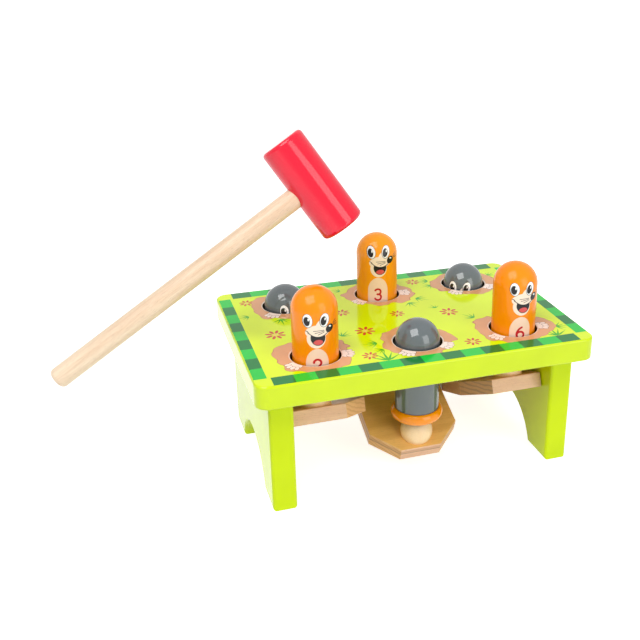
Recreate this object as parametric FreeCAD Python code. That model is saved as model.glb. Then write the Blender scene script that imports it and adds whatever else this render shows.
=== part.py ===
import FreeCAD, Part
import math
import os

from FreeCAD import Placement, Rotation, Vector

# Whack-a-mole bench: a painted wooden bench with six holes, six round moles that
# stand on the balls of three rocking plates under it, and a loose mallet.
# Millimetres, +Z up. Every piece is laid out from the middle of the bench's
# footprint, x along the bench, y from front to back. At the end the whole set is
# moved so that its origin is the middle of its own footprint on the floor.

# Bench top
top_length = 250.0
top_depth = 170.0
top_thickness = 17.5
play_height = 106.0
top_corner_radius = 9.0
top_edge_round = 1.6
hole_diameter = 35.6
hole_edge_round = 0.8
hole_edge_margin = 19.7

# Leg panels
leg_thickness = 17.5
leg_end_inset = 10.0
leg_front_inset = 14.0
leg_edge_round = 2.4
arch_half_width = 40.5
arch_height = 29.0

# Glued dowels between the top and the leg panels
dowel_diameter = 8.0
dowel_length = 29.0
dowel_depth_in_top = 12.0
dowel_spacing = 52.0
dowels_per_leg = 3
dowel_chamfer = 0.8
glue_clearance = 0.05
blind_end_clearance = 0.5

# Moles
mole_diameter = 32.4
mole_length = 77.4
stop_ring_diameter = 38.4
stop_ring_height = 8.0
stop_ring_land = 0.8
stop_ring_clearance = 0.4
mole_leg_clearance = 2.8

# Balls that the moles rest on
ball_diameter = 24.0
ball_seat_height = 4.0
ball_peg_diameter = 8.0
ball_peg_length = 8.0
ball_clearance = 0.15

# Rocking plates
plate_width = 69.2
plate_thickness = 11.0
plate_end_margin = 14.0
plate_corner_cut = 19.0
plate_edge_round = 0.7
plate_tilt = 21.5
plate_gap = 3.0
plate_leg_gap = 1.0

# Pivot rod through the three plates
rod_diameter = 5.0
rod_running_clearance = 0.05
rod_socket_depth = 10.0
spacer_diameter = 11.0
spacer_side_clearance = 0.3

# Mallet
mallet_head_diameter = 32.5
mallet_head_length = 73.0
mallet_head_round = 3.0
mallet_handle_diameter = 15.0
mallet_handle_reach = 219.8
mallet_handle_round = 3.5
mallet_socket_depth = 22.0

# Where the mallet is held, over the left of the bench
mallet_x = -63.1
mallet_y = -3.1
mallet_z = 214.9
mallet_yaw = 182.1
mallet_pitch = 32.8
mallet_roll = 16.4

UP = Vector(0, 0, 1)
ALONG = Vector(1, 0, 0)
COLUMNS = ("left", "centre", "right")
FRONT = -1
BACK = 1
TINY = 0.01

# The front mole of each column stands up in the outer columns and is down in the
# middle one. Each column has the number of its back mole, then of its front mole.
front_is_up = {"left": True, "centre": False, "right": True}
mole_numbers = {"left": (1, 2), "centre": (3, 4), "right": (5, 6)}

# Bench places that follow from the sizes above
underside = play_height - top_thickness
leg_outer_x = top_length / 2 - leg_end_inset
leg_inner_x = leg_outer_x - leg_thickness
leg_depth = top_depth - 2 * leg_front_inset
row_y = top_depth / 2 - hole_edge_margin - hole_diameter / 2
column_pitch = leg_inner_x - mole_leg_clearance - stop_ring_diameter / 2
column_x = {"left": -column_pitch, "centre": 0.0, "right": column_pitch}

# A plate swings by the same angle both ways. Its balls are under the moles when it
# is level. Halfway through the swing a ball stands higher than the straight line
# between its two ends, and a mole leaves that much room over it at both ends.
tilt = math.radians(plate_tilt)
ball_radius = ball_diameter / 2
ball_arm = plate_thickness / 2 + ball_seat_height
ball_swing_rise = ball_arm * (1 - math.cos(tilt))
mole_travel = 2 * row_y * math.sin(tilt)

# A raised mole has its stop ring just under the bench top. Its ball is right under
# it, and that sets the height of the pivot rod.
raised_foot = underside - stop_ring_clearance - stop_ring_height
raised_ball = raised_foot - ball_swing_rise - ball_clearance - ball_radius
rod_height = raised_ball - row_y * math.sin(tilt) - ball_arm * math.cos(tilt)
plate_half_length = row_y + plate_end_margin


def bore(x, y, z, radius, length, axis=UP):
    return Part.makeCylinder(radius, length, Vector(x, y, z), axis)


def level_edges(shape):
    return [edge for edge in shape.Edges if edge.BoundBox.ZLength < TINY]


def leg_middle_x(side):
    return side * (leg_outer_x + leg_inner_x) / 2


def dowel_places():
    first = -(dowels_per_leg - 1) / 2
    return [(first + i) * dowel_spacing for i in range(dowels_per_leg)]


def make_bench_top():
    corner = Vector(-top_length / 2, -top_depth / 2, underside)
    board = Part.makeBox(top_length, top_depth, top_thickness, corner)
    upright = [edge for edge in board.Edges if edge.BoundBox.ZLength > top_thickness - TINY]
    board = board.makeFillet(top_corner_radius, upright)
    board = board.makeFillet(top_edge_round, level_edges(board))
    radius = hole_diameter / 2
    for x in column_x.values():
        for row in (FRONT, BACK):
            board = board.cut(bore(x, row * row_y, underside - 1, radius, top_thickness + 2))
    rims = [
        edge for edge in level_edges(board)
        if edge.Curve.TypeId == "Part::GeomCircle" and abs(edge.Curve.Radius - radius) < TINY
    ]
    board = board.makeFillet(hole_edge_round, rims)
    for side in (-1, 1):
        for y in dowel_places():
            hole_depth = dowel_depth_in_top + blind_end_clearance
            hole_radius = dowel_diameter / 2 + glue_clearance
            board = board.cut(bore(leg_middle_x(side), y, underside, hole_radius, hole_depth))
    return board


def make_leg_panel(side):
    """An upright panel with an arched foot, bored on top for the dowels and inside
    for the end of the pivot rod."""
    outer_face = leg_middle_x(side) - leg_thickness / 2
    panel = Part.makeBox(leg_thickness, leg_depth, underside, Vector(outer_face, -leg_depth / 2, 0))
    arch_radius = (arch_half_width ** 2 + arch_height ** 2) / (2 * arch_height)
    arch_centre = arch_height - arch_radius
    panel = panel.cut(bore(outer_face - 1, 0, arch_centre, arch_radius, leg_thickness + 2, ALONG))
    rounded = [
        edge for edge in panel.Edges
        if edge.BoundBox.ZMin < underside - TINY and edge.BoundBox.XLength < leg_thickness - TINY
    ]
    panel = panel.makeFillet(leg_edge_round, rounded)
    hole_depth = dowel_length - dowel_depth_in_top + blind_end_clearance
    hole_radius = dowel_diameter / 2 + glue_clearance
    for y in dowel_places():
        panel = panel.cut(bore(leg_middle_x(side), y, underside - hole_depth, hole_radius, hole_depth))
    socket_x = leg_inner_x if side > 0 else -leg_inner_x - rod_socket_depth
    socket_radius = rod_diameter / 2 + glue_clearance
    return panel.cut(bore(socket_x, 0, rod_height, socket_radius, rod_socket_depth, ALONG))


def make_leg_dowels():
    foot = underside - (dowel_length - dowel_depth_in_top)
    pins = []
    for side in (-1, 1):
        for y in dowel_places():
            pin = bore(leg_middle_x(side), y, foot, dowel_diameter / 2, dowel_length)
            pins.append(pin.makeChamfer(dowel_chamfer, level_edges(pin)))
    return Part.makeCompound(pins)


def make_pivot_rod():
    half = leg_inner_x + rod_socket_depth - blind_end_clearance
    return bore(-half, 0, rod_height, rod_diameter / 2, 2 * half, ALONG)


def make_rod_spacers():
    """Two rings on the rod that keep the plates from rubbing on each other."""
    length = plate_gap - 2 * spacer_side_clearance
    hole_radius = rod_diameter / 2 + glue_clearance
    rings = []
    for side in (-1, 1):
        start = side * (plate_width / 2 + plate_gap / 2) - length / 2
        ring = bore(start, 0, rod_height, spacer_diameter / 2, length, ALONG)
        rings.append(ring.cut(bore(start - 1, 0, rod_height, hole_radius, length + 2, ALONG)))
    return Part.makeCompound(rings)


def plate_outline(column):
    """Corners of a level plate seen from above. The plates beside the legs are
    square on the leg's side."""
    end = plate_half_length
    cut = plate_corner_cut
    half = plate_width / 2
    if column == "centre":
        return [
            (-half, -end + cut), (-half + cut, -end), (half - cut, -end), (half, -end + cut),
            (half, end - cut), (half - cut, end), (-half + cut, end), (-half, end - cut),
        ]
    near = half + plate_gap
    far = leg_inner_x - plate_leg_gap
    corners = [
        (near, -end + cut), (near + cut, -end), (far, -end),
        (far, end), (near + cut, end), (near, end - cut),
    ]
    if column == "left":
        return [(-x, y) for x, y in corners]
    return corners


def tilt_with_plate(shape, column):
    """Turns a piece drawn on the level plate to where the plate stands at rest."""
    lean = -plate_tilt if front_is_up[column] else plate_tilt
    shape.rotate(Vector(0, 0, rod_height), ALONG, lean)
    return shape


def make_rocker_plate(column):
    corners = [Vector(x, y, rod_height - plate_thickness / 2) for x, y in plate_outline(column)]
    outline = Part.Face(Part.makePolygon(corners + corners[:1]))
    plate = outline.extrude(Vector(0, 0, plate_thickness))
    plate = plate.makeFillet(plate_edge_round, level_edges(plate))
    rod_hole = rod_diameter / 2 + rod_running_clearance
    plate = plate.cut(bore(-leg_inner_x, 0, rod_height, rod_hole, 2 * leg_inner_x, ALONG))
    top = rod_height + plate_thickness / 2
    peg_hole = ball_peg_diameter / 2 + glue_clearance
    hole_depth = ball_peg_length + blind_end_clearance
    for row in (FRONT, BACK):
        plate = plate.cut(bore(column_x[column], row * row_y, top - hole_depth, peg_hole, hole_depth))
    return tilt_with_plate(plate, column)


def make_rocker_ball(column, row):
    """A ball that is flat where it is glued on the plate, with a peg below."""
    x = column_x[column]
    y = row * row_y
    top = rod_height + plate_thickness / 2
    ball = Part.makeSphere(ball_radius, Vector(x, y, top + ball_seat_height))
    ball = ball.cut(bore(x, y, top - ball_diameter, ball_radius, ball_diameter))
    peg = bore(x, y, top - ball_peg_length, ball_peg_diameter / 2, ball_peg_length + 1)
    return tilt_with_plate(ball.fuse(peg).removeSplitter(), column)


def revolve_profile(edges, x, y):
    solid = Part.Face(Part.Wire(edges)).revolve(Vector(0, 0, 0), UP, 360)
    solid.translate(Vector(x, y, 0))
    return solid


def line(start, end):
    return Part.makeLine(Vector(start[0], 0, start[1]), Vector(end[0], 0, end[1]))


def arc(start, middle, end):
    points = [Vector(radius, 0, height) for radius, height in (start, middle, end)]
    return Part.Arc(*points).toShape()


def mole_foot(column, row):
    """Height of a mole's flat lower end at rest."""
    is_up = front_is_up[column] == (row == FRONT)
    return raised_foot if is_up else raised_foot - mole_travel


def make_mole_body(column, row):
    radius = mole_diameter / 2
    foot = mole_foot(column, row)
    top = foot + mole_length
    shoulder = top - radius
    dome = radius * math.sqrt(0.5)
    edges = [
        line((0, foot), (radius, foot)),
        line((radius, foot), (radius, shoulder)),
        arc((radius, shoulder), (dome, shoulder + dome), (0, top)),
        line((0, top), (0, foot)),
    ]
    return revolve_profile(edges, column_x[column], row * row_y)


def make_stop_ring(column, row):
    """A round-sided collar glued on the mole's lower end."""
    low = mole_foot(column, row)
    high = low + stop_ring_height
    inner = mole_diameter / 2 + glue_clearance
    shoulder = inner + stop_ring_land
    outer = stop_ring_diameter / 2
    edges = [
        line((inner, low), (shoulder, low)),
        arc((shoulder, low), (outer, (low + high) / 2), (shoulder, high)),
        line((shoulder, high), (inner, high)),
        line((inner, high), (inner, low)),
    ]
    return revolve_profile(edges, column_x[column], row * row_y)


def place_mallet(shape):
    """Turns a piece drawn round the head's middle, handle along +x, to its place."""
    turn = Rotation(mallet_yaw, mallet_pitch, mallet_roll)
    shape.Placement = Placement(Vector(mallet_x, mallet_y, mallet_z), turn)
    return shape


def make_mallet_head():
    head = bore(0, 0, -mallet_head_length / 2, mallet_head_diameter / 2, mallet_head_length)
    head = head.makeFillet(mallet_head_round, level_edges(head))
    socket_end = mallet_head_diameter / 2 - mallet_socket_depth - blind_end_clearance
    radius = mallet_handle_diameter / 2 + glue_clearance
    return place_mallet(head.cut(bore(socket_end, 0, 0, radius, mallet_head_diameter, ALONG)))


def make_mallet_handle():
    start = mallet_head_diameter / 2 - mallet_socket_depth
    length = mallet_socket_depth + mallet_handle_reach - mallet_head_diameter / 2
    handle = bore(start, 0, 0, mallet_handle_diameter / 2, length, ALONG)
    tip = [
        edge for edge in handle.Edges
        if edge.BoundBox.XMin > start + length - TINY and edge.BoundBox.XLength < TINY
    ]
    return place_mallet(handle.makeFillet(mallet_handle_round, tip))


def make_pieces():
    pieces = {
        "bench_top": make_bench_top(),
        "leg_panel_left": make_leg_panel(-1),
        "leg_panel_right": make_leg_panel(1),
        "leg_dowels": make_leg_dowels(),
        "pivot_rod": make_pivot_rod(),
        "rod_spacers": make_rod_spacers(),
        "mallet_head": make_mallet_head(),
        "mallet_handle": make_mallet_handle(),
    }
    for column in COLUMNS:
        pieces["rocker_plate_" + column] = make_rocker_plate(column)
        for row, number in zip((BACK, FRONT), mole_numbers[column]):
            pieces["rocker_ball_%d" % number] = make_rocker_ball(column, row)
            pieces["mole_%d_body" % number] = make_mole_body(column, row)
            pieces["mole_%d_stop_ring" % number] = make_stop_ring(column, row)
    return pieces


def print_places(shift):
    """Prints the places and clearances that the joints depend on."""
    print("set moved by x %.4f y %.4f" % (shift.x, shift.y))
    print("rod axis z %.5f, row y %.4f, column x %.4f" % (rod_height, row_y, column_pitch))
    print("plate swing %.4f degrees, mole travel %.5f" % (2 * plate_tilt, mole_travel))
    lowest = rod_height - plate_half_length * math.sin(tilt) - plate_thickness / 2 * math.cos(tilt)
    print("lowest edge of a plate above the floor %.2f" % lowest)
    print("gap over a ball at rest %.3f" % (ball_swing_rise + ball_clearance))


def main():
    pieces = make_pieces()
    box = Part.makeCompound(list(pieces.values())).optimalBoundingBox(False)
    shift = Vector(-(box.XMin + box.XMax) / 2, -(box.YMin + box.YMax) / 2, 0)
    os.makedirs("parts", exist_ok=True)
    for name, shape in pieces.items():
        shape.translate(shift)
        shape.exportStep(os.path.join("parts", name + ".step"))
        print("%-22s %d solid %8.1f mm3" % (name, len(shape.Solids), shape.Volume))
    print_places(shift)


main()
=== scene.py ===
import math

import bpy
from mathutils import Euler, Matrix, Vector


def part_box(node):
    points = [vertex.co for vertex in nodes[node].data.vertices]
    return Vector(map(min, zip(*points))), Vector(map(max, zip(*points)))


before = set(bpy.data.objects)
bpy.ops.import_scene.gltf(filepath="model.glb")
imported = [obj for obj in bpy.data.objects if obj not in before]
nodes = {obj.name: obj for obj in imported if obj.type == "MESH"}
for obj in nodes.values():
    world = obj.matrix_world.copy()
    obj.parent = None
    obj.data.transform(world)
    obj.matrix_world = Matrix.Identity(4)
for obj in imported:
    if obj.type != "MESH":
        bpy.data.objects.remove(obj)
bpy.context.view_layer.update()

# Looks of a whack-a-mole bench: lime lacquered wood with a printed top, six turned
# moles with printed faces, plain wooden rocking plates and a red mallet.
# Patterns are worked out in millimetres from Object coordinates.

MM = 1000.0

# Colours, as linear red, green and blue
LIME = (0.60, 0.77, 0.0)
# Ground of the top's print: the lime made paler as painted light falling on the top
PRINT_GROUND_AND_LIGHT = (0.73, 0.93, 0.0)
EARTH = (0.74, 0.36, 0.16)
EARTH_RIM = (0.50, 0.17, 0.08)
BRIGHT_GREEN = (0.0, 0.58, 0.04)
DARK_GREEN = (0.0, 0.20, 0.03)
LEAF_GREEN = (0.04, 0.44, 0.0)
PETAL_RED = (0.62, 0.06, 0.02)
FLOWER_HEART = (0.85, 0.62, 0.12)
PAW_PALE = (1.0, 0.82, 0.70)
INK_BLACK = (0.012, 0.011, 0.012)
INK_BROWN = (0.09, 0.028, 0.015)
EYE_WHITE = (0.97, 0.97, 0.96)
MUZZLE_CREAM = (0.96, 0.78, 0.64)
BELLY_PINK = (0.97, 0.68, 0.52)
TONGUE_RED = (0.72, 0.09, 0.09)
NUMBER_RED = (0.55, 0.012, 0.02)
MOLE_ORANGE = (0.97, 0.27, 0.0)
# Mole 3's orange, made paler and yellower as painted light against the mallet's shadow on it
MOLE_ORANGE_PAINTED_LIGHT = (1.0, 0.34, 0.005)
MOLE_GREY = (0.115, 0.138, 0.146)
RING_ORANGE = (0.98, 0.30, 0.0)
MALLET_RED = (0.82, 0.0, 0.028)
# Bare wood of the bores, painted very dark as painted shade inside the holes
BORE_WOOD_AND_SHADE = (0.10, 0.06, 0.02)
RIM_PALE = (0.90, 0.74, 0.60)

# Heights of surface unevenness, in millimetres
LACQUER_SKIN = 0.03
BEECH_GRAIN = 0.06
PLATE_GRAIN = 0.08

# Places on the bench, in millimetres
bench_low, bench_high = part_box("bench_top")
bench_x = (bench_low.x + bench_high.x) / 2 * MM
bench_y = (bench_low.y + bench_high.y) / 2 * MM
top_z = bench_high.z * MM
column_pitch = 75.5
row_y = 47.5
hole_radius = 17.8

# Border of blocks along the edges of the top
long_strip = {"reach": 112.5, "inner": 72.0, "outer": 83.6, "block": 15.0}
side_strip = {"reach": 72.0, "inner": 114.8, "outer": 124.2, "block": 16.0}

# Print of a mole, in millimetres across it and up from its foot
EYES = ((-6.2, 4.0), (5.1, -8.0))
MOUTH = (0.4, 51.8)
LIP = (0.9, 61.4)
LIP_RADIUS = 8.9
FACE_LINE = 0.40
WHISKERS = (((4.6, 57.2), (-2.6, 57.0)), ((4.6, 56.5), (-1.6, 55.4)), ((4.8, 55.8), (0.4, 54.1)),
            ((11.0, 60.4), (12.8, 62.4)), ((11.4, 59.6), (13.4, 60.9)), ((11.6, 58.8), (13.6, 59.2)))
BELLY_MIDDLE = 31.5
NUMBER_WIDTH = 1.55

# Print of the top, in millimetres from its middle: place, size and turn in degrees
FLOWERS = ((-95.0, -6.0, 1.05), (-38.0, 18.0, 0.85), (-31.0, -20.0, 1.05), (41.0, -6.0, 1.0),
           (-104.0, 60.0, 0.8), (36.0, 62.0, 0.8), (103.0, -20.0, 0.8), (-40.0, -61.0, 0.8),
           (37.0, -62.0, 0.85), (2.0, 3.0, 0.8))
TUFTS = ((-85.0, 21.0, 1.4, 270.0), (-50.0, -24.0, 1.2, 50.0), (26.0, 28.0, 1.3, 325.0),
         (18.0, 21.0, 1.2, 285.0), (-27.0, 61.0, 1.0, 150.0), (49.0, 60.0, 1.3, 160.0),
         (48.0, 50.0, 1.1, 190.0), (102.0, 57.0, 1.0, 30.0), (-29.0, -43.0, 1.3, 175.0),
         (-28.0, -54.0, 1.1, 205.0), (55.0, -23.0, 1.3, 125.0), (106.0, -57.0, 1.3, 350.0),
         (106.0, 22.0, 1.1, 30.0), (-107.0, 33.0, 1.1, 190.0), (-30.0, -72.0, 2.0, 90.0),
         (100.0, -72.0, 1.8, 90.0), (34.0, 4.0, 0.9, 100.0))
SOIL_RIM = 26.4
SOIL_REACH = 25.9
PAW_REACH = 20.6
FINGERS = ((23.6, -4.2, -24.0), (23.6, 4.2, 24.0), (24.9, -1.5, -8.0), (24.9, 1.5, 8.0))
# Turns of a mole's two paws round its hole, while it is raised and while it is lowered
PAW_TURNS = ((-146.0, -128.0), (-12.0, -40.0))

# The rest pose of the mallet and of the plates, in degrees
MALLET_TURN = (16.4, 32.8, 182.1)
PLATE_TILT = 21.5
PLATE_HALF_THICKNESS = 5.5

# Light
FLOOR_WHITE = 0.86
FLOOR_GLOW = 0.75
FILL_FROM_LEFT = 0.28
FILL_FROM_RIGHT = 0.62


class Tree:
    """Adds nodes to one node tree. Each call returns the output that it makes."""

    def __init__(self, tree):
        self.tree = tree

    def node(self, kind, **settings):
        made = self.tree.nodes.new(kind)
        for name, value in settings.items():
            setattr(made, name, value)
        return made

    def feed(self, socket, value):
        if isinstance(value, bpy.types.NodeSocket):
            self.tree.links.new(value, socket)
        elif socket.type == "RGBA" and len(value) == 3:
            socket.default_value = (*value, 1.0)
        else:
            socket.default_value = value

    def maths(self, operation, first, second=0.0, clamp=False):
        made = self.node("ShaderNodeMath", operation=operation, use_clamp=clamp)
        for socket, value in zip(made.inputs, (first, second)):
            self.feed(socket, value)
        return made.outputs[0]

    def add(self, first, second):
        return self.maths("ADD", first, second)

    def less(self, first, second):
        return self.maths("SUBTRACT", first, second)

    def times(self, first, second):
        return self.maths("MULTIPLY", first, second)

    def both(self, first, second):
        return self.maths("MINIMUM", first, second)

    def either(self, first, second):
        return self.maths("MAXIMUM", first, second)

    def flip(self, mask):
        return self.maths("SUBTRACT", 1.0, mask, clamp=True)

    def size(self, value):
        return self.maths("ABSOLUTE", value)

    def mask_below(self, value, edge, softness=0.12):
        """1 where value is under edge, with a narrow soft step."""
        away = self.maths("DIVIDE", self.less(edge, value), softness)
        return self.maths("ADD", away, 0.5, clamp=True)

    def vector_maths(self, operation, first, second=None, scale=None):
        made = self.node("ShaderNodeVectorMath", operation=operation)
        self.feed(made.inputs[0], first)
        if second is not None:
            self.feed(made.inputs[1], second)
        if scale is not None:
            self.feed(made.inputs["Scale"], scale)
        return made.outputs["Value"] if operation in ("LENGTH", "DOT_PRODUCT") else made.outputs[0]

    def parts(self, vector):
        made = self.node("ShaderNodeSeparateXYZ")
        self.feed(made.inputs[0], vector)
        return made.outputs

    def join(self, x, y, z=0.0):
        made = self.node("ShaderNodeCombineXYZ")
        for socket, value in zip(made.inputs, (x, y, z)):
            self.feed(socket, value)
        return made.outputs[0]

    def mix(self, mask, under, over):
        made = self.node("ShaderNodeMix", data_type="RGBA", clamp_factor=True)
        self.feed(made.inputs["Factor"], mask)
        self.feed(made.inputs[6], under)
        self.feed(made.inputs[7], over)
        return made.outputs[2]

    def noise(self, vector, scale, detail=2.0, roughness=0.5):
        made = self.node("ShaderNodeTexNoise", normalize=True)
        self.feed(made.inputs["Vector"], vector)
        self.feed(made.inputs["Scale"], scale)
        self.feed(made.inputs["Detail"], detail)
        self.feed(made.inputs["Roughness"], roughness)
        return made.outputs[0]

    def stretch(self, value, low, high, new_low=0.0, new_high=1.0):
        made = self.node("ShaderNodeMapRange", clamp=True)
        for socket, given in zip(made.inputs, (value, low, high, new_low, new_high)):
            self.feed(socket, given)
        return made.outputs[0]

    def bump(self, height, strength, distance):
        made = self.node("ShaderNodeBump")
        self.feed(made.inputs["Strength"], strength)
        self.feed(made.inputs["Distance"], distance)
        self.feed(made.inputs["Height"], height)
        return made.outputs["Normal"]

    def group(self, group, **inputs):
        made = self.node("ShaderNodeGroup", node_tree=group)
        for name, value in inputs.items():
            self.feed(made.inputs[name.replace("_", " ")], value)
        return made.outputs

    def places(self, turn=(0.0, 0.0, 0.0), centre=(0.0, 0.0, 0.0)):
        """Object coordinates in millimetres, measured from centre and turned by turn degrees."""
        angles = Euler([math.radians(angle) for angle in turn])
        middle = Vector(centre)
        middle.rotate(angles)
        coordinates = self.node("ShaderNodeTexCoord").outputs["Object"]
        made = self.node("ShaderNodeMapping", vector_type="POINT")
        self.feed(made.inputs["Vector"], coordinates)
        made.inputs["Location"].default_value = -middle
        made.inputs["Rotation"].default_value = angles
        made.inputs["Scale"].default_value = (MM, MM, MM)
        return made.outputs[0]


def new_group(name, inputs, outputs):
    """A shader node group. Returns it, its tree and its inner input sockets by name."""
    group = bpy.data.node_groups.new(name, "ShaderNodeTree")
    for socket_name, kind, value in inputs:
        socket = group.interface.new_socket(socket_name, in_out="INPUT",
                                            socket_type="NodeSocket" + kind)
        if value is not None:
            socket.default_value = value
    for socket_name, kind in outputs:
        group.interface.new_socket(socket_name, in_out="OUTPUT",
                                   socket_type="NodeSocket" + kind)
    tree = Tree(group)
    inside = tree.node("NodeGroupInput").outputs
    return group, tree, inside


def close_group(tree, *results):
    end = tree.node("NodeGroupOutput")
    for socket, value in zip(end.inputs, results):
        tree.feed(socket, value)


def make_ellipse_group():
    """A filled ellipse in the plane of x and y, turned about its middle."""
    group, t, g = new_group("ellipse_mask", [
        ("Vector", "Vector", None), ("Centre", "Vector", None), ("Half Width", "Float", 1.0),
        ("Half Height", "Float", 1.0), ("Turn", "Float", 0.0), ("Softness", "Float", 0.14)],
        [("Mask", "Float")])
    x, y, _ = t.parts(t.vector_maths("SUBTRACT", g["Vector"], g["Centre"]))
    cosine = t.maths("COSINE", g["Turn"])
    sine = t.maths("SINE", g["Turn"])
    along = t.maths("DIVIDE", t.add(t.times(x, cosine), t.times(y, sine)), g["Half Width"])
    across = t.maths("DIVIDE", t.less(t.times(y, cosine), t.times(x, sine)), g["Half Height"])
    reach = t.vector_maths("LENGTH", t.join(along, across))
    inside = t.times(t.less(1.0, reach), t.both(g["Half Width"], g["Half Height"]))
    close_group(t, t.maths("ADD", t.maths("DIVIDE", inside, g["Softness"]), 0.5, clamp=True))
    return group


def make_stroke_group():
    """A straight line with round ends, in the plane of x and y."""
    group, t, g = new_group("stroke_mask", [
        ("Vector", "Vector", None), ("Start", "Vector", None), ("End", "Vector", None),
        ("Width", "Float", 1.0), ("Softness", "Float", 0.12)], [("Mask", "Float")])
    flat = t.vector_maths("MULTIPLY", g["Vector"], (1.0, 1.0, 0.0))
    away = t.vector_maths("SUBTRACT", flat, g["Start"])
    run = t.vector_maths("SUBTRACT", g["End"], g["Start"])
    share = t.maths("DIVIDE", t.vector_maths("DOT_PRODUCT", away, run),
                    t.vector_maths("DOT_PRODUCT", run, run), clamp=True)
    nearest = t.vector_maths("SCALE", run, scale=share)
    gap = t.vector_maths("LENGTH", t.vector_maths("SUBTRACT", away, nearest))
    close_group(t, t.mask_below(gap, t.times(g["Width"], 0.5), g["Softness"]))
    return group


def make_arc_group():
    """A part of a ring with round ends. Middle is the direction of the arc's middle."""
    group, t, g = new_group("arc_mask", [
        ("Vector", "Vector", None), ("Centre", "Vector", None), ("Radius", "Float", 1.0),
        ("Middle", "Float", 0.0), ("Half Sweep", "Float", 1.0), ("Width", "Float", 1.0),
        ("Softness", "Float", 0.12)], [("Mask", "Float")])
    x, y, _ = t.parts(t.vector_maths("SUBTRACT", g["Vector"], g["Centre"]))
    cosine = t.maths("COSINE", g["Middle"])
    sine = t.maths("SINE", g["Middle"])
    along = t.add(t.times(x, cosine), t.times(y, sine))
    across = t.size(t.less(t.times(y, cosine), t.times(x, sine)))
    angle = t.maths("ARCTAN2", across, along)
    on_ring = t.size(t.less(t.vector_maths("LENGTH", t.join(along, across)), g["Radius"]))
    end = t.join(t.times(g["Radius"], t.maths("COSINE", g["Half Sweep"])),
                 t.times(g["Radius"], t.maths("SINE", g["Half Sweep"])))
    to_end = t.vector_maths("LENGTH", t.vector_maths("SUBTRACT", t.join(along, across), end))
    beyond = t.maths("GREATER_THAN", angle, g["Half Sweep"])
    gap = t.add(t.times(beyond, to_end), t.times(t.less(1.0, beyond), on_ring))
    close_group(t, t.mask_below(gap, t.times(g["Width"], 0.5), g["Softness"]))
    return group


ellipse_mask = make_ellipse_group()
stroke_mask = make_stroke_group()
arc_mask = make_arc_group()


def ellipse(t, place, x, y, half_width, half_height, turn=0.0):
    return t.group(ellipse_mask, Vector=place, Centre=(x, y, 0.0), Half_Width=half_width,
                   Half_Height=half_height, Turn=math.radians(turn))[0]


def stroke(t, place, start, end, width):
    return t.group(stroke_mask, Vector=place, Start=(*start, 0.0), End=(*end, 0.0), Width=width)[0]


def arc(t, place, centre, radius, middle, half_sweep, width):
    return t.group(arc_mask, Vector=place, Centre=(*centre, 0.0), Radius=radius,
                   Middle=math.radians(middle), Half_Sweep=math.radians(half_sweep), Width=width)[0]


def make_face_group():
    """The print on a mole, seen from the front: x to the right and y up from its foot."""
    group, t, g = new_group("mole_face", [
        ("Vector", "Vector", None), ("Paint", "Color", None), ("Number", "Float", 0.0),
        ("Rise", "Float", 0.0), ("Belly Middle", "Float", 0.0), ("Belly Rise", "Float", 0.0)],
        [("Color", "Color")])
    across, depth, up = t.parts(g["Vector"])
    face = t.join(across, t.less(up, g["Rise"]))
    in_front = t.maths("LESS_THAN", depth, 0.0)
    belly_up = t.either(t.less(up, t.add(g["Belly Rise"], BELLY_MIDDLE)), 0.0)
    belly = t.group(ellipse_mask, Vector=t.join(t.less(across, g["Belly Middle"]), belly_up),
                    Half_Width=7.7, Half_Height=11.2)[0]
    colour = t.mix(belly, g["Paint"], BELLY_PINK)
    colour = t.mix(t.both(g["Number"], belly), colour, NUMBER_RED)
    chin = ellipse(t, face, -0.7, 51.2, 6.4, 6.9)
    cheeks = ellipse(t, face, 0.3, 56.4, 8.3, 4.9, 6.0)
    bridge = ellipse(t, face, 2.4, 59.8, 3.5, 5.4, -20.0)
    cream = t.either(t.either(chin, cheeks), bridge)
    colour = t.mix(cream, colour, MUZZLE_CREAM)
    for x, turn in EYES:
        colour = t.mix(ellipse(t, face, x - 0.05, 64.35, 3.35, 5.0, turn), colour, INK_BLACK)
        colour = t.mix(ellipse(t, face, x, 64.4, 3.05, 4.7, turn), colour, EYE_WHITE)
        colour = t.mix(ellipse(t, face, x - 0.6, 63.9, 2.05, 3.3, turn), colour, INK_BLACK)
        colour = t.mix(ellipse(t, face, x + 0.5, 65.2, 0.5, 1.0, turn), colour, EYE_WHITE)
    below_lip = t.flip(ellipse(t, face, *LIP, LIP_RADIUS, LIP_RADIUS))
    mouth = t.both(ellipse(t, face, *MOUTH, 5.0, 5.6, 4.0), below_lip)
    colour = t.mix(mouth, colour, INK_BLACK)
    inner_mouth = t.both(ellipse(t, face, *MOUTH, 4.5, 5.1, 4.0), below_lip)
    colour = t.mix(t.both(inner_mouth, ellipse(t, face, 0.6, 48.0, 3.4, 2.5)), colour, TONGUE_RED)
    lines = [arc(t, face, LIP, LIP_RADIUS, -90.0, 57.0, 0.6),
             arc(t, face, (-7.6, 55.5), 1.5, 45.0, 50.0, 0.5)]
    lines += [stroke(t, face, start, end, FACE_LINE) for start, end in WHISKERS]
    for line in lines:
        colour = t.mix(line, colour, INK_BLACK)
    colour = t.mix(ellipse(t, face, 8.5, 57.8, 2.5, 3.1, -28.0), colour, INK_BLACK)
    colour = t.mix(ellipse(t, face, 8.9, 59.1, 0.9, 0.6, -28.0), colour, EYE_WHITE)
    close_group(t, t.mix(in_front, g["Paint"], colour))
    return group


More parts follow.
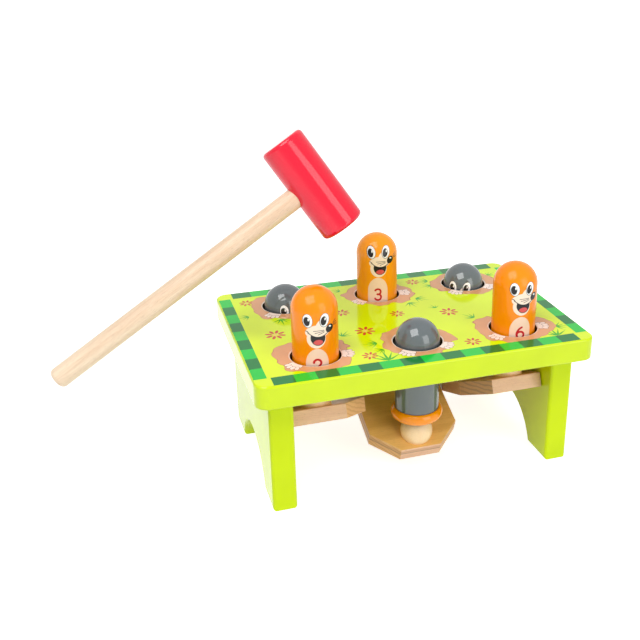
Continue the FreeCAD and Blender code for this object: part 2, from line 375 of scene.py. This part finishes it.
def number_mask(t, place, number, middle, height):
    """A plain number, 10.8 mm high, with its middle at height above the mole's foot."""
    x, _, z = t.parts(place)
    flat = t.join(t.less(x, middle), t.less(z, height))
    shapes = {
        1: [("stroke", (0.8, 4.6), (0.8, -4.6)), ("stroke", (0.8, 4.6), (-1.8, 2.6))],
        2: [("arc", (0.0, 2.2), 2.5, 75.0, 100.0), ("stroke", (2.1, 0.9), (-2.6, -4.6)),
            ("stroke", (-2.6, -4.6), (2.7, -4.6))],
        3: [("arc", (-0.2, 2.3), 2.25, 25.0, 125.0), ("arc", (-0.2, -2.2), 2.5, -25.0, 125.0)],
        4: [("stroke", (1.3, 4.6), (-2.8, -1.6)), ("stroke", (-2.8, -1.6), (2.9, -1.6)),
            ("stroke", (1.5, 1.0), (1.5, -4.6))],
        5: [("stroke", (2.3, 4.6), (-1.9, 4.6)), ("stroke", (-1.9, 4.6), (-2.2, 0.6)),
            ("arc", (-0.1, -1.8), 2.85, -20.0, 130.0)],
        6: [("arc", (0.0, -2.0), 2.6, 0.0, 180.0), ("arc", (3.4, -1.6), 6.1, 147.0, 33.0)],
    }
    mask = None
    for kind, *numbers in shapes[number]:
        if kind == "stroke":
            line = stroke(t, flat, *numbers, NUMBER_WIDTH)
        else:
            line = arc(t, flat, *numbers, NUMBER_WIDTH)
        mask = line if mask is None else t.either(mask, line)
    return mask


def make_paint_group():
    """Small unevenness of sprayed lacquer: its height, its gloss and a slight tint."""
    group, t, g = new_group("lacquer", [
        ("Vector", "Vector", None), ("Roughness", "Float", 0.1), ("Paint", "Color", None)],
        [("Color", "Color"), ("Roughness", "Float"), ("Height", "Float")])
    wide = t.noise(g["Vector"], 0.035, 2.0)
    skin = t.noise(g["Vector"], 0.35, 1.0)
    tint = t.stretch(wide, 0.3, 0.7, 0.965, 1.03)
    scaled = t.vector_maths("SCALE", g["Paint"], scale=tint)
    close_group(t, scaled, t.times(g["Roughness"], t.stretch(wide, 0.3, 0.7, 0.85, 1.15)), skin)
    return group


def make_wood_group():
    """Grain that runs along x: broad bands, fine streaks and short pores."""
    group, t, g = new_group("wood_grain", [
        ("Vector", "Vector", None), ("Pale", "Color", None), ("Dark", "Color", None),
        ("Band Size", "Float", 6.0), ("Pores", "Float", 0.5)],
        [("Color", "Color"), ("Height", "Float")])
    wander = t.noise(t.vector_maths("MULTIPLY", g["Vector"], (0.02, 0.04, 0.04)), 1.0, 2.0)
    bent = t.vector_maths("ADD", g["Vector"], t.join(0.0, t.times(wander, 6.0), t.times(wander, 4.0)))
    band = t.join(t.times(g["Band Size"], 22.0), g["Band Size"], g["Band Size"])
    banded = t.vector_maths("DIVIDE", bent, band)
    bands = t.noise(banded, 1.0, 3.0, 0.55)
    streaks = t.noise(t.vector_maths("MULTIPLY", bent, (0.07, 1.7, 1.7)), 1.0, 2.0, 0.6)
    pores = t.noise(t.vector_maths("MULTIPLY", bent, (0.35, 3.6, 3.6)), 1.0, 1.0)
    pores = t.stretch(pores, 0.62, 0.70)
    band_tone = t.times(t.stretch(bands, 0.32, 0.68), 0.62)
    tone = t.add(band_tone, t.times(t.stretch(streaks, 0.3, 0.7), 0.38))
    colour = t.mix(tone, g["Pale"], g["Dark"])
    pored = t.vector_maths("SCALE", colour, scale=0.66)
    colour = t.mix(t.times(pores, g["Pores"]), colour, pored)
    height = t.less(t.times(streaks, 0.4), t.times(pores, 0.6))
    close_group(t, colour, height)
    return group


def make_flower_group():
    """Eight petals round an open heart. Puts out the petals and the heart."""
    group, t, g = new_group("flower_print", [
        ("Vector", "Vector", None), ("Centre", "Vector", None), ("Size", "Float", 1.0)],
        [("Petals", "Float"), ("Heart", "Float")])
    x, y, _ = t.parts(t.vector_maths("SUBTRACT", g["Vector"], g["Centre"]))
    x = t.maths("DIVIDE", x, g["Size"])
    y = t.maths("DIVIDE", y, g["Size"])
    reach = t.vector_maths("LENGTH", t.join(x, y))
    step = math.pi / 4
    angle = t.less(t.maths("FLOORED_MODULO", t.maths("ARCTAN2", y, x), step), step / 2)
    petal = t.join(t.times(reach, t.maths("COSINE", angle)), t.times(reach, t.maths("SINE", angle)))
    close_group(t, ellipse(t, petal, 4.8, 0.0, 2.6, 1.15), t.mask_below(reach, 1.7))
    return group


def make_tuft_group():
    """A tuft of grass blades that fan out from one foot."""
    group, t, g = new_group("grass_print", [
        ("Vector", "Vector", None), ("Centre", "Vector", None), ("Size", "Float", 1.0),
        ("Turn", "Float", 0.0)], [("Blades", "Float")])
    x, y, _ = t.parts(t.vector_maths("SUBTRACT", g["Vector"], g["Centre"]))
    cosine = t.maths("COSINE", g["Turn"])
    sine = t.maths("SINE", g["Turn"])
    ahead = t.maths("DIVIDE", t.add(t.times(x, cosine), t.times(y, sine)), g["Size"])
    aside = t.maths("DIVIDE", t.less(t.times(y, cosine), t.times(x, sine)), g["Size"])
    reach = t.vector_maths("LENGTH", t.join(ahead, aside))
    whole = t.maths("ARCTAN2", aside, t.add(ahead, 0.001))
    step = math.radians(27.0)
    number = t.maths("ROUND", t.maths("DIVIDE", whole, step))
    angle = t.less(whole, t.times(number, step))
    unlike = t.size(t.less(t.maths("FLOORED_MODULO", t.add(number, 10.0), 3.0), 1.0))
    length = t.less(9.2, t.times(unlike, 2.2))
    along = t.times(reach, t.maths("COSINE", angle))
    across = t.size(t.times(reach, t.maths("SINE", angle)))
    width = t.times(t.less(1.0, t.maths("DIVIDE", along, length)), 0.62)
    blade = t.both(t.mask_below(across, width, 0.2), t.maths("GREATER_THAN", along, 0.0))
    close_group(t, t.both(blade, t.maths("LESS_THAN", t.size(number), 2.5)))
    return group


mole_face = make_face_group()
lacquer = make_paint_group()
wood_grain = make_wood_group()
flower_print = make_flower_group()
grass_print = make_tuft_group()


def new_material(name, roughness=0.5, **constants):
    """A material with one Principled shader. Returns it, its tree and the shader's inputs."""
    material = bpy.data.materials.new(name)
    material.use_nodes = True
    tree = Tree(material.node_tree)
    shader = material.node_tree.nodes["Principled BSDF"].inputs
    shader["Roughness"].default_value = roughness
    for socket, value in constants.items():
        shader[socket.replace("_", " ")].default_value = value
    return material, tree, shader


def paint_over(t, shader, place, colour, roughness):
    """Finishes a lacquered surface with its unevenness."""
    skin = t.group(lacquer, Vector=place, Paint=colour, Roughness=roughness)
    t.feed(shader["Base Color"], skin["Color"])
    t.feed(shader["Roughness"], skin["Roughness"])
    t.feed(shader["Normal"], t.bump(skin["Height"], 0.25, LACQUER_SKIN / MM))


def make_lacquered(name, colour, roughness, ior=1.5):
    material, t, shader = new_material(name, IOR=ior)
    paint_over(t, shader, t.places(), colour, roughness)
    return material


def block_mask(t, along, across, strip):
    """Masks of a border strip and of its dark blocks."""
    inside = t.both(t.mask_below(t.size(along), strip["reach"]), t.mask_below(across, strip["outer"]))
    inside = t.both(inside, t.flip(t.mask_below(across, strip["inner"])))
    count = t.maths("FLOOR", t.maths("DIVIDE", t.add(along, strip["reach"]), strip["block"]))
    return inside, t.maths("FLOORED_MODULO", count, 2.0)


def make_printed_top():
    """Lime lacquer all over, a print on the flat top, and in the holes bare wood darkened with painted
    shade.
    """
    material, t, shader = new_material("printed_top", IOR=1.4)
    place = t.places(centre=(bench_x, bench_y, 0.0))
    x, y, z = t.parts(place)
    column = t.maths("ROUND", t.maths("DIVIDE", x, column_pitch))
    column = t.either(t.both(column, 1.0), -1.0)
    from_hole_x = t.less(x, t.times(column, column_pitch))
    from_hole_y = t.less(y, t.times(t.maths("SIGN", y), row_y))
    hole = t.join(from_hole_x, from_hole_y)

    wash = t.noise(place, 0.02, 2.0)
    # The print's ground, paler than the lime sides as painted light on the top, with a random wash
    colour = t.mix(t.stretch(wash, 0.35, 0.65), PRINT_GROUND_AND_LIGHT, tuple(value * 0.94 for value in PRINT_GROUND_AND_LIGHT))

    for flower_x, flower_y, size in FLOWERS:
        flower = t.group(flower_print, Vector=place, Centre=(flower_x, flower_y, 0.0), Size=size)
        colour = t.mix(flower["Petals"], colour, PETAL_RED)
        colour = t.mix(flower["Heart"], colour, FLOWER_HEART)

    for tuft_x, tuft_y, size, turn in TUFTS:
        blades = t.group(grass_print, Vector=place, Centre=(tuft_x, tuft_y, 0.0), Size=size,
                         Turn=math.radians(turn))[0]
        colour = t.mix(blades, colour, LEAF_GREEN)

    ragged = t.add(t.times(t.noise(place, 0.05, 0.0), 16.0), t.times(t.noise(place, 0.13, 0.0), 7.0))
    from_hole = t.vector_maths("LENGTH", t.vector_maths("MULTIPLY", hole, (0.95, 1.0, 0.0)))
    reach = t.add(from_hole, t.less(ragged, 11.5))
    damp = t.stretch(t.noise(place, 0.08, 3.0), 0.35, 0.65)
    dirt = t.mix(damp, EARTH, tuple(value * 0.93 for value in EARTH))
    colour = t.mix(t.mask_below(reach, SOIL_RIM, 0.2), colour, EARTH_RIM)
    colour = t.mix(t.mask_below(reach, SOIL_REACH, 0.2), colour, dirt)

    outer_column = t.less(t.times(t.size(column), 2.0), 1.0)
    lowered = t.maths("GREATER_THAN", t.times(outer_column, t.maths("SIGN", y)), 0.0)
    for raised_turn, lowered_turn in PAW_TURNS:
        paw_turn = t.stretch(lowered, 0.0, 1.0, math.radians(-raised_turn), math.radians(-lowered_turn))
        rotated = t.node("ShaderNodeVectorRotate", rotation_type="Z_AXIS")
        t.feed(rotated.inputs["Vector"], hole)
        t.feed(rotated.inputs["Angle"], paw_turn)
        paw = rotated.outputs[0]
        colour = t.mix(ellipse(t, paw, PAW_REACH, 0.0, 4.6, 5.6), colour, INK_BROWN)
        colour = t.mix(ellipse(t, paw, PAW_REACH, 0.0, 4.4, 5.3), colour, PAW_PALE)
        for finger_x, finger_y, lean in FINGERS:
            colour = t.mix(ellipse(t, paw, finger_x, finger_y, 2.6, 1.75, lean), colour, INK_BROWN)
            colour = t.mix(ellipse(t, paw, finger_x, finger_y, 2.35, 1.5, lean), colour, PAW_PALE)

    long_inside, long_dark = block_mask(t, x, t.size(y), long_strip)
    side_inside, side_dark = block_mask(t, y, t.size(x), side_strip)
    blocks = t.mix(t.flip(long_dark), BRIGHT_GREEN, DARK_GREEN)
    colour = t.mix(long_inside, colour, blocks)
    colour = t.mix(side_inside, colour, t.mix(side_dark, BRIGHT_GREEN, DARK_GREEN))

    on_top = t.maths("GREATER_THAN", z, top_z - 0.06)
    colour = t.mix(on_top, LIME, colour)
    from_axis = t.vector_maths("LENGTH", hole)
    colour = t.mix(t.mask_below(from_axis, hole_radius + 1.0, 0.2), colour, RIM_PALE)
    # Painted shade: the bores take a near black brown for the shade inside the holes
    colour = t.mix(t.mask_below(from_axis, hole_radius + 0.15, 0.2), colour, BORE_WOOD_AND_SHADE)
    paint_over(t, shader, place, colour, 0.07)
    return material


def make_mole(number, paint, finish, face_turn, rise, belly_middle, belly_rise, number_height):
    low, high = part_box("mole_%d_body" % number)
    foot = ((low.x + high.x) / 2 * MM, (low.y + high.y) / 2 * MM, low.z * MM)
    material, t, shader = new_material("mole_%d_print" % number, **finish["gloss"])
    place = t.places(turn=(0.0, 0.0, -face_turn), centre=foot)
    digit = number_mask(t, place, number, belly_middle, number_height)
    face = t.group(mole_face, Vector=place, Paint=paint, Number=digit, Rise=rise,
                   Belly_Middle=belly_middle, Belly_Rise=belly_rise)
    paint_over(t, shader, place, face["Color"], finish["roughness"])
    return material


def make_plate_wood(name, turn, pale, dark, cut_dark_with_shade, cut_pale_with_shade, seam):
    """Sanded plate: fine grain on its faces, end grain and a glue line on its edges, painted shade on
    the cut corners.
    """
    material, t, shader = new_material(name, roughness=0.45)
    low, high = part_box("pivot_rod")
    pivot = ((low.x + high.x) / 2 * MM, (low.y + high.y) / 2 * MM, (low.z + high.z) / 2 * MM)
    place = t.places(turn=(turn, 0.0, 0.0), centre=pivot)
    x, y, z = t.parts(place)
    grain = t.group(wood_grain, Vector=place, Pale=pale, Dark=dark, Band_Size=9.0, Pores=0.5)
    ends = t.group(wood_grain, Vector=t.join(x, z, t.times(y, 0.3)), Pale=(0.87, 0.58, 0.37),
                   Dark=(0.68, 0.38, 0.22), Band_Size=4.0, Pores=0.6)
    stripe_place = t.add(t.times(x, 0.85), t.times(z, 1.95))
    wobble = t.noise(place, 0.12, 2.0)
    stripe = t.maths("SINE", t.add(stripe_place, t.times(wobble, 7.0)))
    # The cut corners' stripes, in tones that carry each plate's painted shade
    cut = t.mix(t.stretch(stripe, -0.1, 0.95), cut_pale_with_shade, cut_dark_with_shade)
    cut = t.mix(0.35, cut, grain["Color"])
    normal = t.parts(t.node("ShaderNodeTexCoord").outputs["Normal"])
    sideways = t.size(normal[0])
    cut_face = t.both(t.maths("GREATER_THAN", sideways, 0.5), t.maths("LESS_THAN", sideways, 0.9))
    on_face = t.maths("GREATER_THAN", t.size(z), PLATE_HALF_THICKNESS - 0.08)
    edge_line = t.mask_below(t.size(t.less(z, 1.2)), 0.3, 0.3)
    edge = t.mix(cut_face, ends["Color"], cut)
    edge = t.mix(t.times(edge_line, 0.75 * seam), edge, (0.17, 0.07, 0.025))
    brown_band = t.mask_below(t.size(t.less(z, 2.7)), 1.2, 0.6)
    edge = t.mix(t.times(brown_band, 0.4 * seam), edge, (0.36, 0.16, 0.06))
    t.feed(shader["Base Color"], t.mix(on_face, edge, grain["Color"]))
    t.feed(shader["Normal"], t.bump(grain["Height"], 0.35, PLATE_GRAIN / MM))
    return material


def make_beech(name, turn, centre, pale, dark, roughness, band=7.0):
    material, t, shader = new_material(name, roughness=roughness)
    place = t.places(turn=turn, centre=centre)
    grain = t.group(wood_grain, Vector=place, Pale=pale, Dark=dark, Band_Size=band, Pores=0.55)
    t.feed(shader["Base Color"], grain["Color"])
    t.feed(shader["Normal"], t.bump(grain["Height"], 0.3, BEECH_GRAIN / MM))
    return material


def make_steel():
    material, t, shader = new_material("drawn_steel", Metallic=1.0)
    place = t.places()
    lines = t.noise(t.vector_maths("MULTIPLY", place, (0.1, 6.0, 6.0)), 1.0, 2.0)
    t.feed(shader["Base Color"], t.mix(lines, (0.62, 0.63, 0.65), (0.52, 0.53, 0.55)))
    t.feed(shader["Roughness"], t.stretch(lines, 0.3, 0.7, 0.22, 0.34))
    return material


def dress(node, material):
    nodes[node].material_slots[0].material = material


printed_top = make_printed_top()
lime_paint = make_lacquered("lime_lacquer", LIME, 0.12, 1.26)
ring_paint = make_lacquered("orange_lacquer", RING_ORANGE, 0.12, 1.45)
mallet_paint = make_lacquered("red_lacquer", MALLET_RED, 0.11, 1.48)
spacer_plastic = make_lacquered("white_plastic", (0.80, 0.80, 0.77), 0.35)
steel = make_steel()
# The handle runs down to the left: its turn brings the grain along it
head_low, head_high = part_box("mallet_head")
head_middle = tuple((head_low + head_high) / 2 * MM)
mallet_pose = Euler([math.radians(angle) for angle in MALLET_TURN], "XYZ").to_matrix()
mallet_turn = mallet_pose.inverted().to_euler()
handle_wood = make_beech("handle_beech", [math.degrees(angle) for angle in mallet_turn], head_middle,
                         (0.89, 0.73, 0.54), (0.66, 0.44, 0.28), 0.34)
ball_wood = make_beech("ball_beech", (0.0, 90.0, 0.0), (0.0, 0.0, 0.0),
                       (1.0, 0.76, 0.46), (0.93, 0.64, 0.34), 0.30, 5.0)
dowel_wood = make_beech("dowel_beech", (0.0, 90.0, 0.0), (0.0, 0.0, 0.0),
                        (0.80, 0.60, 0.38), (0.66, 0.44, 0.24), 0.5)

dress("bench_top", printed_top)
for side in ("left", "right"):
    dress("leg_panel_" + side, lime_paint)
dress("leg_dowels", dowel_wood)
dress("pivot_rod", steel)
dress("rod_spacers", spacer_plastic)
dress("mallet_head", mallet_paint)
dress("mallet_handle", handle_wood)
# Tilt, pale and dark wood, dark and pale end grain at the cut corners, toned per plate as painted
# shade, and the strength of a glue line
TAN_WOOD = ((0.88, 0.55, 0.28), (0.72, 0.40, 0.18))
plates = {
    "left": (PLATE_TILT, *TAN_WOOD, (0.74, 0.38, 0.15), (0.94, 0.54, 0.24), 0.0),
    "centre": (-PLATE_TILT, (0.96, 0.57, 0.18), (0.74, 0.39, 0.10),
               (0.50, 0.24, 0.09), (0.70, 0.40, 0.17), 1.0),
    # The right plate's cut corners are painted near black as painted shade
    "right": (PLATE_TILT, *TAN_WOOD, (0.07, 0.026, 0.006), (0.32, 0.14, 0.04), 0.0),
}
for column, looks in plates.items():
    dress("rocker_plate_" + column, make_plate_wood("plate_wood_" + column, *looks))

# The lowered moles' lacquer is thick and glossy, the raised ones' is softer
thick_gloss = {"gloss": {"IOR": 1.62}, "roughness": 0.07}
soft_gloss = {"gloss": {"IOR": 1.35}, "roughness": 0.17}

# Each mole's paint and finish, where its face looks, how far its face is moved up,
# the middle and the rise of its belly patch, and the height of its number
moles = {
    1: (MOLE_GREY, thick_gloss, 8.0, -2.6, -0.4, -2.0, 27.0),
    2: (MOLE_ORANGE, soft_gloss, -8.0, -6.0, -0.4, -4.8, 25.2),
    # Mole 3 takes a paler orange as painted light, making up for the mallet's shadow
    3: (MOLE_ORANGE_PAINTED_LIGHT, soft_gloss, -10.0, 1.7, -1.2, 2.8, 31.4),
    4: (MOLE_GREY, thick_gloss, 105.0, -1.0, -0.4, -1.0, 28.0),
    5: (MOLE_GREY, thick_gloss, -31.0, -2.4, -0.4, -2.0, 27.0),
    6: (MOLE_ORANGE, soft_gloss, -4.0, -2.6, -0.8, -2.1, 28.4),
}
for number, (paint, finish, *print_places) in moles.items():
    dress("mole_%d_body" % number, make_mole(number, paint, finish, *print_places))
    dress("mole_%d_stop_ring" % number, ring_paint)
    dress("rocker_ball_%d" % number, ball_wood)


def seen_rays(t):
    """1 for rays that the camera sees, also by reflection or through glass."""
    path = t.node("ShaderNodeLightPath").outputs
    return t.either(t.either(path["Is Camera Ray"], path["Is Glossy Ray"]), path["Is Transmission Ray"])


def make_floor():
    """A wide white floor that keeps the bench's shadow."""
    bpy.ops.object.select_all(action="DESELECT")
    bpy.ops.mesh.primitive_plane_add(size=60.0, location=(0.0, 0.0, -0.0002))
    floor = bpy.context.object
    floor.name = "studio_floor"
    material, t, shader = new_material("floor_white", roughness=0.9)
    shader["Base Color"].default_value = (FLOOR_WHITE, FLOOR_WHITE, FLOOR_WHITE, 1.0)
    shader["Specular IOR Level"].default_value = 0.0
    seen = seen_rays(t)
    shader["Emission Color"].default_value = (1.0, 1.0, 1.0, 1.0)
    t.feed(shader["Emission Strength"], t.times(seen, FLOOR_GLOW))
    floor.data.materials.append(material)


def make_world():
    """White surroundings. As light on the bench they are weaker from the left."""
    world = bpy.data.worlds.new("studio_world")
    bpy.context.scene.world = world
    world.use_nodes = True
    t = Tree(world.node_tree)
    seen = seen_rays(t)
    background = world.node_tree.nodes["Background"].inputs
    background["Color"].default_value = (1.0, 1.0, 1.0, 1.0)
    direction = t.parts(t.node("ShaderNodeTexCoord").outputs["Generated"])
    fill = t.stretch(direction[0], -1.0, 1.0, FILL_FROM_LEFT, FILL_FROM_RIGHT)
    t.feed(background["Strength"], t.add(fill, t.times(seen, t.less(1.0, fill))))


def make_softbox(name, place, target, width, height, roll, power):
    data = bpy.data.lights.new(name, "AREA")
    data.shape = "RECTANGLE"
    data.size = width
    data.size_y = height
    data.energy = power
    lamp = bpy.data.objects.new(name, data)
    bpy.context.scene.collection.objects.link(lamp)
    lamp.location = place
    facing = (Vector(target) - Vector(place)).to_track_quat("-Z", "Y").to_matrix()
    lamp.rotation_euler = (facing @ Euler((0.0, 0.0, math.radians(roll))).to_matrix()).to_euler()


def make_camera():
    data = bpy.data.cameras.new("photo_camera")
    data.sensor_width = 36.0
    data.lens = 51.586
    data.shift_x = -0.1094
    data.shift_y = -0.0281
    data.clip_start = 0.01
    camera = bpy.data.objects.new("photo_camera", data)
    bpy.context.scene.collection.objects.link(camera)
    camera.location = (-0.14883, -0.60816, 0.38404)
    camera.rotation_euler = [math.radians(angle) for angle in (67.4798, -0.1294, -18.7182)]
    bpy.context.scene.camera = camera


make_floor()
make_world()
target = (0.06, 0.0, 0.10)
make_softbox("softbox_above", (-0.52, -0.48, 1.28), target, 0.90, 0.95, 35.0, 13.9)
make_softbox("softbox_front", (0.62, -1.18, 0.52), target, 0.72, 0.95, 0.0, 6.2)
make_camera()
bpy.context.scene.view_settings.view_transform = "Standard"
